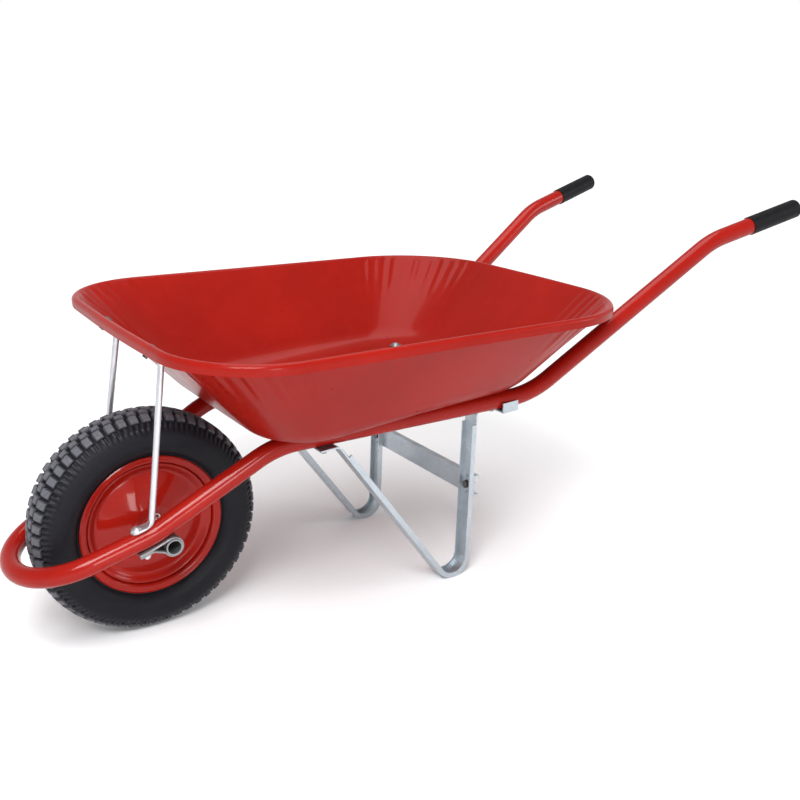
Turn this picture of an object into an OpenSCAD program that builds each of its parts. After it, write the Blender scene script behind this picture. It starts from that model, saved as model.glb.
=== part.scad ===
// Builder's wheelbarrow: a pressed steel tray on one bent tube, a pneumatic
// wheel on a fixed hollow axle, and two bent channel legs.
// X runs from the wheel towards the grips, Z is up, the user's left is -Y.
// The origin is on the ground, below the middle of the overall length.

/* [Wheel] */
// Outer diameter of the tyre
tyre_d = 356; // [330:1:440]
// Width of the tyre
tyre_w = 90; // [78:1:112]
// Diameter of the rim's bead seats
bead_d = 203.2; // [190:0.1:230]
// Width between the rim flanges, inside
rim_w = 64; // [56:1:72]
// Height of a rim flange above its bead seat
flange_h = 11; // [8:0.5:14]
// Thickness of the pressed wheel sheet
wheel_sheet = 2; // [1.2:0.1:3]
// Outer diameter of the hub tube
hub_d = 39; // [34:0.5:48]
// Wall of the hub tube
hub_wall = 2.5; // [1.5:0.1:4]
// Length of the hub tube
hub_len = 92; // [80:1:110]
// Radius of the flat hub disc in the middle of a rim disc
hub_flat_r = 33; // [28:0.5:42]
// Wall of the tyre's side
tyre_wall = 6; // [4:0.5:9]
// Thickness of the tyre's tread
tread_t = 11; // [8:0.5:14]
// Wall of the inner tube
inner_wall = 2.5; // [1.5:0.1:4]
// Diameter of the valve stem
valve_d = 11; // [8:0.5:12]
// Length of the valve stem
valve_len = 37; // [32:1:46]

/* [Axle] */
// Outer diameter of the axle tube
axle_d = 25; // [20:0.5:30]
// Wall of the axle tube
axle_wall = 2.2; // [1.5:0.1:3]
// How far the axle stands out of each clip
axle_proud = 1.5; // [0.5:0.5:6]
// Width of an axle clip
clip_w = 30; // [24:1:40]
// Thickness of the clip strap
clip_t = 3; // [2:0.5:4]
// Length of the clip's tab in front of its bolt
clip_tip = 12; // [9:1:18]
// Air between the clip ring and the frame tube
clip_gap = 0.8; // [0.3:0.1:4]
// Flange thickness of a hub bush
bush_flange = 3; // [2:0.5:5]
// Thickness of an axle washer
axle_washer_t = 2.5; // [1.5:0.5:4]
// Diameter of a cotter pin
cotter_d = 4; // [3:0.5:5]

/* [Frame tube] */
// Outer diameter of the frame tube
tube_d = 30; // [25:0.5:36]
// Wall of the frame tube
tube_wall = 2; // [1.5:0.1:3]
// Air between the tyre and the loop's front
loop_air = 10; // [6:1:60]
// Half width of the loop at its front corners
loop_half = 95; // [90:1:120]
// Distance of the kink in front of the axle
kink_x = 25; // [20:1:32]
// Half width of the tube at the kink
kink_half = 108; // [102:1:125]
// Distance of the front bend behind the axle
front_bend_x = 167; // [140:1:190]
// Half width of the tube at the front bend
front_bend_half = 129; // [115:1:140]
// Distance of the rear bend behind the axle
rear_bend_x = 621; // [600:1:720]
// Half width of the tube at the rear bend
rear_bend_half = 186; // [170:1:205]
// Distance of the upper bend behind the axle
upper_bend_x = 983; // [950:1:1100]
// Half width of the tube at the upper bend
upper_bend_half = 241; // [225:1:260]
// Distance of the tube's ends behind the axle
handle_x = 1171; // [1100:1:1450]
// Half width of the handles at their ends
handle_half = 267.5; // [245:0.5:290]
// Slope of the loop
loop_angle = 16; // [10:0.5:20]
// Slope of the tube behind the wheel
rise_angle = 28.6; // [25:0.1:32]
// Slope of the tube under the tray
deck_angle = 2.5; // [0:0.1:5]
// Slope of the handles behind the tray
handle_angle = 33.2; // [28:0.1:36]
// Slope of the handles' ends
grip_angle = 14.2; // [8:0.1:20]
// Bend radius at the kink
kink_r = 90; // [60:5:120]
// Bend radius of the front bend
front_bend_r = 150; // [100:5:200]
// Bend radius of the rear bend
rear_bend_r = 150; // [110:5:170]
// Bend radius of the upper bend
upper_bend_r = 150; // [100:5:220]

/* [Grips] */
// Length of a grip along the tube
grip_len = 108; // [90:1:140]
// Wall of a grip
grip_wall = 1.6; // [1.2:0.1:4]
// Thickness of a grip's closed end
grip_end = 5; // [3:0.5:8]

/* [Tray] */
// Thickness of the tray sheet
sheet_t = 1.5; // [1:0.1:2.5]
// Air between the tyre and the edge where the floor meets the front wall
front_air = 22.6; // [14:0.1:60]
// How far the rim's front edge stands in front of that edge
front_overhang = 158; // [120:1:180]
// Rear edge of the rim, behind the axle
rim_rear_x = 783; // [740:1:900]
// Half width of the rim at its front corners
rim_front_half = 325; // [290:1:345]
// Half width of the rim at its rear corners
rim_rear_half = 318; // [290:1:345]
// Corner radius of the rim at the front
rim_front_r = 146; // [110:1:170]
// Corner radius of the rim at the rear
rim_rear_r = 183; // [130:1:200]
// Depth of the tray at its front edge
depth_front = 182; // [150:1:215]
// Depth of the tray at its rear edge
depth_rear = 136; // [110:1:160]
// Rear edge of the floor, behind the axle
floor_rear_x = 620; // [600:1:640]
// Half width of the floor at its front
floor_front_half = 209; // [175:1:215]
// Half width of the floor at its rear
floor_rear_half = 198; // [185:1:225]
// Corner radius of the floor
floor_r = 88; // [60:1:100]
// Length of the bend between floor and walls, each way
fillet_len = 34; // [20:1:40]
// Outward bow of the rim's front and rear edges
rim_bow = 7; // [0:1:14]
// Outer radius of the rim's rolled edge
lip_r = 7; // [5:0.5:9]
// Height of the rim's turned down lip
lip_h = 15; // [11:1:20]

/* [Legs] */
// Width of a leg strip
leg_w = 30; // [25:1:36]
// Thickness of the leg and strap steel
leg_t = 2.5; // [2:0.1:4]
// Depth of the leg channel
channel_h = 9; // [7:0.5:12]
// Distance of a leg's middle from the middle of the barrow
leg_half = 144; // [138:1:147]
// Distance of a leg's front bolt behind the axle
leg_front_x = 243; // [235:1:275]
// Distance of the rear strap and its bolts behind the axle
leg_rear_x = 568; // [562:1:574]
// Distance of a rear bolt from the middle of the barrow
rear_bolt_half = 148; // [144:1:152]
// Distance of the upright's top behind the axle
upright_x = 528; // [515:1:540]
// Lean of the upright
upright_lean = 1.8; // [0:0.1:3]
// Inside radius of the leg's lowest bend
foot_r = 32; // [24:1:45]
// Height of the brace's middle
brace_z = 165; // [140:1:190]
// Height of the brace
brace_h = 37; // [30:1:44]
// Depth of the brace's flanges
brace_flange = 11; // [8:0.5:16]
// Width of the rear cross strap
strap_w = 32; // [28:1:40]

/* [Struts] */
// Diameter of a strut rod
strut_d = 9.5; // [8:0.5:12]
// Thickness of a strut's flattened ends
strut_flat_t = 4; // [3:0.5:5]
// Width of a strut's flattened ends
strut_flat_w = 19; // [17:0.5:22]
// Distance of a strut's top bolt from the middle of the barrow
strut_top_half = 95; // [80:1:105]
// Distance of the top bolts behind the rim's front edge, along the wall
strut_top_in = 24; // [14:1:30]
// Length of a strut's flattened top between bolt and rod
strut_top_len = 22; // [20:1:30]
// Length of a strut's foot between bolt and rod
strut_foot_len = 23; // [18:1:26]
// Distance of a foot bolt in front of the kink
foot_bolt_in = 20; // [18:1:30]

/* [Fasteners] */
// Diameter of the bolts
bolt_d = 8; // [6:0.5:10]
// Diameter of a dome head
head_d = 18; // [15:0.5:20]
// Height of a dome head
head_h = 5; // [4:0.5:6]
// Width of a nut across its flats
nut_af = 13; // [12:0.5:16]
// Height of a nut
nut_h = 6.5; // [5:0.5:8]
// Length of thread that shows past a nut
thread_proud = 4; // [2:0.5:8]

/* [Fits] */
// Radial running clearance of the bushes on the axle
run_fit = 0.08; // [0.04:0.01:0.1]
// Radial clearance of pieces that are pressed or clamped together
press_gap = 0.02; // [0.01:0.01:0.05]
// Radial clearance of a bolt in its hole
bolt_gap = 0.4; // [0.2:0.1:0.8]
// Side clearance of the turning wheel between its washers
side_play = 0.5; // [0.3:0.1:1.5]
// Air on both sides of the front wall, which is not quite flat
wall_air = 0.5; // [0.4:0.1:0.8]
// Height of the rear washers over the floor, which starts to bend there
seat_lift = 0.8; // [0.6:0.1:1.2]

/* [Hidden] */
$fn = 48;

LEFT = -1;
RIGHT = 1;
eps = 0.01;
through = 1;

// ---- derived sizes -------------------------------------------------------
tyre_r = tyre_d/2;
axle_z = tyre_r;
tube_r = tube_d/2;
axle_r = axle_d/2;
bolt_r = bolt_d/2;
hole_r = bolt_r + bolt_gap;
clip_r = axle_r + press_gap + clip_t;
loop_reach = tyre_r + loop_air + tube_r;

// The rise behind the wheel clears the clip ring; everything else follows it.
rise_off = tube_r + clip_r + clip_gap;
function rise_z(x) = axle_z + (rise_off + x*sin(rise_angle))/cos(rise_angle);
kink_z = rise_z(-kink_x);
front_bend_z = rise_z(front_bend_x);
function deck_z(x) = front_bend_z + (x - front_bend_x)*tan(deck_angle);
rear_bend_z = deck_z(rear_bend_x);
upper_bend_z = rear_bend_z + (upper_bend_x - rear_bend_x)*tan(handle_angle);
handle_z = upper_bend_z + (handle_x - upper_bend_x)*tan(grip_angle);
loop_z = kink_z - (loop_reach - kink_x)*tan(loop_angle);

// The tray's front keeps clear of the tyre, in front of it and above it
front_rise = front_bend_z + tube_r - axle_z;
floor_front_x = sqrt(pow(tyre_r + front_air, 2) - pow(front_rise, 2));
rim_front_x = floor_front_x - front_overhang;

// Half width of the tube under the tray
function deck_half(x) = front_bend_half
    + (x - front_bend_x)*(rear_bend_half - front_bend_half)/(rear_bend_x - front_bend_x);

// ---- vectors and paths ---------------------------------------------------
function unit(v) = v/norm(v);
function turn_at(p, i) = let(a = unit(p[i] - p[i-1]), b = unit(p[i+1] - p[i]))
    acos(max(-1, min(1, a*b)));
function setback(p, r, i) = r[i] == 0 ? 0 : r[i]*tan(turn_at(p, i)/2);

// A frame whose z axis points along d
module along(at, d) {
    u = unit(d);
    translate(at)
        rotate([0, acos(u.z), atan2(u.y, u.x)])
            children();
}

// Round bar along the points p, with bend radius r[i] at point i, or a pipe if
// bore is more than 0. Its wall is a little thinner in a bend, as a bent pipe's is.
lap = 0.5;
bend_thin = 0.03;
module bar(p, r, radius, bore=0) {
    last = len(p) - 1;
    for (i = [0 : last - 1]) {
        u = unit(p[i+1] - p[i]);
        head = i == 0 ? 0 : setback(p, r, i) - lap;
        tail = i == last - 1 ? 0 : setback(p, r, i+1) - lap;
        along(p[i] + u*head, u)
            linear_extrude(norm(p[i+1] - p[i]) - head - tail)
                pipe_section(radius, bore);
    }
    for (i = [1 : last - 1])
        elbow(p, r[i], i)
            pipe_section(radius - bend_thin, bore > 0 ? bore + bend_thin : 0);
}
module pipe_section(radius, bore) {
    difference() {
        circle(r = radius);
        if (bore > 0) circle(r = bore);
    }
}

// One bend of a bar
module elbow(p, bend, i) {
    a = unit(p[i] - p[i-1]);
    b = unit(p[i+1] - p[i]);
    side = unit(b - a*(a*b));
    angle = turn_at(p, i);
    at = p[i] - a*bend*tan(angle/2) + side*bend;
    z = cross(-side, a);
    multmatrix([[-side.x, a.x, z.x, at.x],
                [-side.y, a.y, z.y, at.y],
                [-side.z, a.z, z.z, at.z],
                [0, 0, 0, 1]])
        rotate_extrude(angle = angle)
            translate([bend, 0])
                children();
}

// Outline of a flat strip along the points p of a plane, with bend radius r[i]
// at point i, between the distances n0 and n1 to the left of that line
bend_steps = 12;
function left_of(a) = [-a.y, a.x];
function line_at(p, r, n) = let(last = len(p) - 1)
    concat([p[0] + n*left_of(unit(p[1] - p[0]))],
           [for (i = [1 : last - 1]) each arc_at(p, r[i], i, n)],
           [p[last] + n*left_of(unit(p[last] - p[last-1]))]);
function arc_at(p, bend, i, n) =
    let(a = unit(p[i] - p[i-1]),
        b = unit(p[i+1] - p[i]),
        turn = atan2(a.x*b.y - a.y*b.x, a*b),
        way = sign(turn),
        centre = p[i] - a*bend*tan(abs(turn)/2) + way*bend*left_of(a),
        arm = -way*left_of(a)*(bend - way*n))
    [for (k = [0 : bend_steps]) let(t = turn*k/bend_steps)
        centre + [arm.x*cos(t) - arm.y*sin(t), arm.x*sin(t) + arm.y*cos(t)]];
function band(p, r, n0, n1) = let(far = line_at(p, r, n1))
    concat(line_at(p, r, n0), [for (i = [len(far) - 1 : -1 : 0]) far[i]]);

// Everything stands in its final place through this shift
grip_r = tube_r + press_gap + grip_wall;
x_low = -loop_reach - tube_r;
x_high = handle_x + grip_end*cos(grip_angle) + grip_r*sin(grip_angle)*0.5;
mid_x = (x_low + x_high)/2;
module place() {
    translate([-mid_x, 0, 0])
        children();
}

// The deck frame lies in the plane of the tubes' centrelines under the tray
module deck() {
    translate([0, 0, deck_z(0)])
        rotate([0, -deck_angle, 0])
            children();
}
function deck_x(x) = x/cos(deck_angle);

module both_sides() {
    for (side = [LEFT, RIGHT])
        children_at(side)
            children();
}
module children_at(side) {
    if (side == RIGHT) children();
    if (side == LEFT) mirror([0, 1, 0]) children();
}

// ---- fasteners -----------------------------------------------------------
// Head on a washer over z = 0, shank down through what it holds and its nut
module dome_bolt(hold, washer=0) {
    dome_r = (pow(head_d/2, 2) + pow(head_h, 2))/(2*head_h);
    translate([0, 0, washer])
        intersection() {
            translate([0, 0, head_h - dome_r])
                sphere(r = dome_r);
            cylinder(h = head_h + through, r = head_d/2);
        }
    translate([0, 0, -hold - nut_h - thread_proud])
        cylinder(h = hold + nut_h + thread_proud + washer + eps, r = bolt_r);
}
module nut() {
    difference() {
        cylinder(h = nut_h, r = nut_af/2/cos(30), $fn = 6);
        translate([0, 0, -through])
            cylinder(h = nut_h + 2*through, r = bolt_r + press_gap);
    }
}
module hex_bolt(hold) {
    cylinder(h = nut_h - 1, r = nut_af/2/cos(30), $fn = 6);
    translate([0, 0, -hold - nut_h - thread_proud])
        cylinder(h = hold + nut_h + thread_proud + eps, r = bolt_r);
}
module bolt_hole(depth, up=20) {
    translate([0, 0, -depth])
        cylinder(h = depth + up, r = hole_r);
}

// ---- frame tube ----------------------------------------------------------
rail = [[-loop_reach, 0, loop_z],
        [-loop_reach, loop_half, loop_z],
        [-kink_x, kink_half, kink_z],
        [front_bend_x, front_bend_half, front_bend_z],
        [rear_bend_x, rear_bend_half, rear_bend_z],
        [upper_bend_x, upper_bend_half, upper_bend_z],
        [handle_x, handle_half, handle_z]];
// The two front bends almost meet in the middle of the loop
loop_flat = 4;
loop_r = (loop_half - loop_flat/2)/tan(turn_at(rail, 1)/2);
rail_r = [0, loop_r, kink_r, front_bend_r, rear_bend_r, upper_bend_r, 0];
half = len(rail) - 1;
function flip(v) = [v.x, -v.y, v.z];
whole_rail = concat([for (i = [half : -1 : 1]) flip(rail[i])], [for (i = [1 : half]) rail[i]]);
whole_r = concat([for (i = [half : -1 : 1]) rail_r[i]], [for (i = [1 : half]) rail_r[i]]);

module frame_tube() {
    color("firebrick")
        place()
            difference() {
                bar(whole_rail, whole_r, tube_r, tube_r - tube_wall);
                both_sides() {
                    at_foot_bolt() bolt_hole(tube_d, tube_d);
                    at_leg_front() bolt_hole(tube_d, tube_d);
                }
            }
}

// The room that a stretch of the right-hand tube takes up, from bend i to bend j
module tube_room(i, j) {
    bar([for (k = [i : j]) rail[k]], [for (k = [i : j]) k == i || k == j ? 0 : rail_r[k]],
        tube_r + press_gap);
}

// Places on the frame, all on the right-hand side; both_sides() mirrors them
loop_dir = unit(rail[2] - rail[1]);
foot_bolt_at = rail[2] - loop_dir*foot_bolt_in;
// z up out of the tube, x along the loop towards the rear
module at_foot_bolt() {
    translate(foot_bolt_at)
        rotate([0, 0, atan2(loop_dir.y, loop_dir.x)])
            rotate([0, -asin(loop_dir.z), 0])
                children();
}
module at_deck(x, half_w) {
    deck()
        translate([deck_x(x), half_w, 0])
            children();
}
module at_leg_front() {
    at_deck(leg_front_x, deck_half(leg_front_x))
        children();
}
module at_rear_bolt() {
    at_deck(leg_rear_x, rear_bolt_half)
        children();
}

// ---- grips ---------------------------------------------------------------
grip_dir = unit(rail[half] - rail[half-1]);
module grip(side) {
    color("#1b1b1d")
        place()
            children_at(side)
                along(rail[half] - grip_dir*grip_len, grip_dir)
                    difference() {
                        rotate_extrude()
                            grip_outline();
                        translate([0, 0, -through])
                            cylinder(h = grip_len + through, r = tube_r + press_gap);
                    }
}
// Half section of a grip: a rounded end and a small bead at the mouth
module grip_outline() {
    full = grip_len + grip_end;
    intersection() {
        union() {
            square([grip_r, full - grip_end]);
            translate([0, full - grip_end]) square([grip_r - grip_end, grip_end]);
            translate([grip_r - grip_end, full - grip_end]) circle(r = grip_end);
        }
        square([grip_r, full]);
    }
}
module left_grip() { grip(LEFT); }
module right_grip() { grip(RIGHT); }

// ---- tray ----------------------------------------------------------------
// Plan outline of a round-cornered trapezoid, from the middle of its front
// round by its +Y side to the middle of its rear
arc_n = 11;
side_n = 6;
end_n = 4;
function half_outline(xf, xr, wf, wr, rf, rr) =
    let(s = atan((wr - wf)/(xr - xf)),
        cf = wf - rf*(1 - sin(s))/cos(s),
        cr = wr - rr*(1 + sin(s))/cos(s),
        p = [xf + rf - rf*sin(s), cf + rf*cos(s)],
        q = [xr - rr - rr*sin(s), cr + rr*cos(s)])
    concat([for (i = [0 : end_n - 1]) [xf, cf*i/end_n]],
           [for (i = [0 : arc_n - 1]) let(a = 180 - (90 - s)*i/arc_n)
               [xf + rf + rf*cos(a), cf + rf*sin(a)]],
           [for (i = [0 : side_n - 1]) p + (q - p)*i/side_n],
           [for (i = [0 : arc_n - 1]) let(a = 90 + s - (90 + s)*i/arc_n)
               [xr - rr + rr*cos(a), cr + rr*sin(a)]],
           [for (i = [0 : end_n]) [xr, cr - cr*i/end_n]]);
function full_outline(h) = concat(h, [for (i = [len(h) - 2 : -1 : 1]) [h[i].x, -h[i].y]]);

floor_plan = full_outline(half_outline(deck_x(floor_front_x), deck_x(floor_rear_x),
    floor_front_half, floor_rear_half, floor_r, floor_r));
rim_plan = full_outline(half_outline(rim_front_x, rim_rear_x,
    rim_front_half, rim_rear_half, rim_front_r, rim_rear_r));
function bow(v) = let(t = (v.x - rim_front_x)/(rim_rear_x - rim_front_x),
                      c = pow(cos(90*min(1, abs(v.y)/rim_front_half)), 2))
    [v.x + rim_bow*c*(pow(t, 6) - pow(1 - t, 6)), v.y];
floor_top = tube_r + sheet_t;
function rim_top(x) = tube_r + depth_front
    + (depth_rear - depth_front)*(x - rim_front_x)/(rim_rear_x - rim_front_x);

// One section of the sheet in the vertical plane through floor point f and
// rim point r: upper face from floor to lip, then the lower face back
bend_n = 5;
wall_n = 3;
lip_n = 5;
function wall_angle(d, rise) = atan2(rise, d) + asin(lip_r/norm([d, rise]));
function section(f, r) =
    let(out = unit(r - f),
        reach = norm(r - f) - lip_r,
        rise = rim_top(r.x) - lip_r - floor_top,
        a = wall_angle(reach, rise),
        w = [cos(a), sin(a)],
        q = [reach, rise],
        top = q + lip_r*[-sin(a), cos(a)],
        start = fillet_len*w,
        bend = [for (i = [0 : bend_n]) let(t = i/bend_n, d = unit([1 - t, 0] + t*w))
            [fillet_len*(-pow(1 - t, 2)*[1, 0] + pow(t, 2)*w), d]],
        wall = [for (i = [1 : wall_n]) [start + (top - start)*i/(wall_n + 1), w]],
        roll = [for (i = [0 : lip_n]) let(b = (90 + a)*(1 - i/lip_n))
            [q + lip_r*[cos(b), sin(b)], [sin(b), -cos(b)]]],
        hem = [[q + [lip_r, lip_r - lip_h], [0, -1]]],
        face = concat(bend, wall, roll, hem),
        lower = [for (i = [len(face) - 1 : -1 : 0]) face[i][0] + sheet_t*[face[i][1].y, -face[i][1].x]],
        ring = concat([for (v = face) v[0]], lower))
    [for (v = ring) [f.x + out.x*v.x, f.y + out.y*v.x, floor_top + v.y]];

module tray_shell() {
    count = len(floor_plan);
    rings = [for (i = [0 : count - 1]) section(floor_plan[i], bow(rim_plan[i]))];
    m = len(rings[0]);
    points = [for (ring = rings) each ring];
    skin = [for (i = [0 : count - 1], j = [0 : m - 2])
        let(k = (i + 1)%count, a = i*m + j, b = k*m + j)
        each [[a, a + 1, b + 1], [a, b + 1, b]]];
    upper = [for (i = [0 : count - 1]) i*m];
    under = [for (i = [count - 1 : -1 : 0]) i*m + m - 1];
    polyhedron(points, concat(skin, [upper], [under]), convexity = 10);
}

module tray() {
    color("firebrick")
        place()
            difference() {
                deck()
                    tray_shell();
                both_sides() {
                    at_leg_front() bolt_hole(0, tube_d);
                    at_rear_bolt() bolt_hole(0, tube_d);
                    at_strut_top() bolt_hole(tube_r, tube_r);
                }
            }
}

// ---- struts --------------------------------------------------------------
// Front wall in the plane of the strut: where it starts on the floor and its slope
strut_bow = rim_bow*pow(cos(90*strut_top_half/rim_front_half), 2);
wall_reach = deck_x(floor_front_x) - rim_front_x - lip_r + strut_bow;
wall_rise = tube_r + depth_front - lip_r - floor_top;
front_a = wall_angle(wall_reach, wall_rise);
wall_len = sqrt(pow(norm([wall_reach, wall_rise]), 2) - lip_r*lip_r);
// z out of the wall into the tray, x down the wall, origin on its upper face
module at_strut_top() {
    deck()
        translate([deck_x(floor_front_x), strut_top_half, floor_top])
            rotate([0, front_a, 0])
                translate([-(wall_len - strut_top_in), 0, 0])
                    children();
}
function deck_point(v) = [v.x*cos(deck_angle) - v.z*sin(deck_angle), v.y,
    deck_z(0) + v.x*sin(deck_angle) + v.z*cos(deck_angle)];
// A point s down the wall from the top bolt and n below its upper face
function wall_point(s, n) = let(run = wall_len - strut_top_in - s)
    deck_point([deck_x(floor_front_x) - run*cos(front_a) - n*sin(front_a), strut_top_half,
        floor_top + run*sin(front_a) - n*cos(front_a)]);
function loop_point(s, n) = foot_bolt_at
    + s*loop_dir + n*unit(cross(loop_dir, [0, 1, 0]));
strut_top_mid = wall_air + sheet_t + strut_flat_t/2;
strut_foot_mid = tube_r + strut_flat_t/2;
strut_path = [wall_point(0, strut_top_mid), wall_point(strut_top_len, strut_top_mid),
              loop_point(strut_foot_len, strut_foot_mid), loop_point(0, strut_foot_mid)];

module strut(side) {
    color("silver")
        place()
            children_at(side)
                difference() {
                    union() {
                        strut_rod();
                        at_strut_top()
                            translate([0, 0, -wall_air - sheet_t - strut_flat_t])
                                eyelet(strut_top_len);
                        at_foot_bolt()
                            translate([0, 0, tube_r])
                                eyelet(strut_foot_len);
                    }
                    at_strut_top() bolt_hole(tube_r, tube_r);
                    at_foot_bolt() bolt_hole(tube_r, 2*tube_d);
                    tube_room(1, 3);
                    deck()
                        tray_block();
                }
}
// Round-ended flat with its bolt at the origin
module eyelet(reach) {
    cylinder(h = strut_flat_t, r = strut_flat_w/2);
    translate([0, -strut_flat_w/2, 0])
        cube([reach - strut_d/2, strut_flat_w, strut_flat_t]);
    translate([reach - strut_d/2, -strut_d/2, 0])
        cube([strut_d/2, strut_d, strut_flat_t]);
}
module strut_rod() {
    a = strut_path[1];
    b = strut_path[2];
    along(a, b - a)
        cylinder(h = norm(b - a), r = strut_d/2);
    translate(a) sphere(r = strut_d/2);
    translate(b) sphere(r = strut_d/2);
}
// The space above the lower face of the front wall
tray_block_w = 2*strut_top_half;
module tray_block() {
    translate([deck_x(floor_front_x), 0, floor_top])
        rotate([0, front_a, 0])
            translate([-wall_len, 0, -sheet_t - wall_air])
                cube([wall_len, tray_block_w, tray_block_w]);
}
module left_strut() { strut(LEFT); }
module right_strut() { strut(RIGHT); }

strut_hold = wall_air + sheet_t + strut_flat_t;
module strut_top_bolts() {
    color("dimgray")
        place()
            both_sides()
                at_strut_top() dome_bolt(strut_hold, wall_air);
}
module strut_top_nuts() {
    color("dimgray")
        place()
            both_sides()
                at_strut_top() translate([0, 0, -strut_hold - nut_h]) nut();
}

// ---- axle clips ----------------------------------------------------------
clip_half = foot_bolt_at.y;
axle_half = clip_half + clip_w/2 + axle_proud;
clip_hold = strut_flat_t + tube_d + 2*clip_t;
loop_slope = asin(loop_dir.z);
module clip(side) {
    color("silver")
        place()
            children_at(side)
                difference() {
                    union() {
                        clip_body();
                        translate([0, clip_half, axle_z]) rotate([90, 0, 0])
                            cylinder(h = clip_w, r = clip_r, center = true);
                    }
                    translate([0, clip_half, axle_z]) rotate([90, 0, 0])
                        cylinder(h = clip_w + 2*through, r = axle_r + press_gap, center = true);
                    at_foot_bolt() {
                        bolt_hole(2*tube_d, 0);
                        translate([0, 0, -tube_r - 2*clip_t - nut_h])
                            cylinder(h = nut_h, r = nut_af/2/cos(30) + bolt_gap);
                    }
                    tube_room(1, 3);
                }
}
// Two layers of strap below the tube that part round the axle
module clip_body() {
    run = norm([foot_bolt_at.x, foot_bolt_at.z - axle_z]);
    difference() {
        translate([foot_bolt_at.x, clip_half, foot_bolt_at.z])
            rotate([0, -loop_slope, 0])
                translate([-clip_tip, -clip_w/2, -tube_r - 2*clip_t])
                    cube([clip_tip + run, clip_w, 2*clip_t]);
        translate([clip_r/2, 0, 0])
            cube([clip_tip + run, 2*axle_half, 2*axle_z*2]);
    }
}
module left_axle_clip() { clip(LEFT); }
module right_axle_clip() { clip(RIGHT); }

module clip_bolts() {
    color("silver")
        place()
            both_sides()
                at_foot_bolt()
                    translate([0, 0, tube_r + strut_flat_t]) dome_bolt(clip_hold);
}
module clip_nuts() {
    color("silver")
        place()
            both_sides()
                at_foot_bolt()
                    translate([0, 0, -tube_r - 2*clip_t - nut_h]) nut();
}

// ---- axle ----------------------------------------------------------------
module at_axle() {
    translate([0, 0, axle_z])
        rotate([-90, 0, 0])
            children();
}
module ring(inner, outer, from, to) {
    translate([0, 0, from])
        difference() {
            cylinder(h = to - from, r = outer);
            translate([0, 0, -through])
                cylinder(h = to - from + 2*through, r = inner);
        }
}
hub_end = hub_len/2 + bush_flange;
washer_in = hub_end + side_play;
washer_out = washer_in + axle_washer_t;
cotter_at = washer_out + side_play/2 + cotter_d/2;
cotter_len = axle_d + 12;
module axle_tube() {
    color("silver")
        place()
            at_axle()
                difference() {
                    ring(axle_r - axle_wall, axle_r, -axle_half, axle_half);
                    for (s = [-1, 1])
                        translate([0, 0, s*cotter_at]) rotate([90, 0, 0])
                            cylinder(h = axle_d + 2*through, r = cotter_d/2 + press_gap, center = true);
                }
}
module axle_washers() {
    color("silver")
        place()
            at_axle()
                for (s = [0, 1])
                    mirror([0, 0, s])
                        ring(axle_r + bolt_gap, hub_d/2 + 1, washer_in, washer_out);
}
module cotter_pins() {
    color("silver")
        place()
            at_axle()
                for (s = [-1, 1])
                    translate([0, 0, s*cotter_at]) rotate([90, 0, 0])
                        cotter_pin();
}
// Round pin with an eye above the axle
module cotter_pin() {
    eye_r = cotter_d*0.9;
    translate([0, 0, -cotter_len/2 + 1])
        cylinder(h = cotter_len, r = cotter_d/2);
    translate([0, 0, cotter_len/2 + eye_r])
        rotate([90, 0, 0])
            rotate_extrude()
                translate([eye_r + cotter_d/4, 0])
                    circle(r = cotter_d/3);
}

// ---- wheel ---------------------------------------------------------------
seat_r = bead_d/2;
flange_y = rim_w/2;
flange_r = seat_r + flange_h;
band_in = seat_r - wheel_sheet;
hub_r = hub_d/2;
disc_edge = flange_y - 3;
disc_groove = disc_edge - 8;
disc_hub = hub_len/2 - 4;
groove_r = band_in - 14;

// A bent sheet: the line p and its offset by t to the right, as one outline
function sheet_normal(p, i) =
    let(a = unit(p[max(i, 1)] - p[max(i, 1) - 1]),
        b = unit(p[min(i + 1, len(p) - 1)] - p[min(i + 1, len(p) - 1) - 1]),
        m = unit(a + b))
    [m.y, -m.x]/(m*a);
function sheet_outline(p, t) = concat(p, [for (i = [len(p) - 1 : -1 : 0]) p[i] + t*sheet_normal(p, i)]);

band_well = 5;
half_band = [[flange_r, flange_y + 2.5], [flange_r - 1.5, flange_y + 1], [seat_r + 2.5, flange_y],
             [seat_r, flange_y - 2.5], [seat_r, flange_y - 16], [seat_r - band_well, flange_y - 21]];
band_line = concat(half_band, [for (i = [len(half_band) - 1 : -1 : 0]) [half_band[i].x, -half_band[i].y]]);
module rim_band() {
    color("firebrick")
        place()
            difference() {
                at_axle()
                    rotate_extrude()
                        polygon(sheet_outline(band_line, wheel_sheet));
                at_valve()
                    translate([0, 0, -valve_root])
                        cylinder(h = valve_root + valve_len, r = valve_d/2 + bolt_gap);
            }
}

disc_line = [[band_in - press_gap, disc_edge - 10], [band_in - press_gap, disc_edge - 1.5],
             [band_in - 2, disc_edge], [band_in - 4, disc_edge - 0.5],
             [groove_r + 2, disc_groove + 1.2], [groove_r - 1, disc_groove],
             [groove_r - 5, disc_groove + 1.5],
             [hub_flat_r + 4, disc_hub - 1.5], [hub_flat_r, disc_hub],
             [hub_r + press_gap, disc_hub]];
module rim_disc() {
    rotate_extrude()
        polygon(sheet_outline(disc_line, -wheel_sheet));
}
module left_rim_disc() {
    color("firebrick")
        place()
            at_axle()
                mirror([0, 0, 1])
                    rim_disc();
}
module right_rim_disc() {
    color("firebrick")
        place()
            difference() {
                at_axle()
                    rim_disc();
                at_valve()
                    cylinder(h = valve_len, r = valve_d/2 + 1.5);
            }
}

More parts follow.
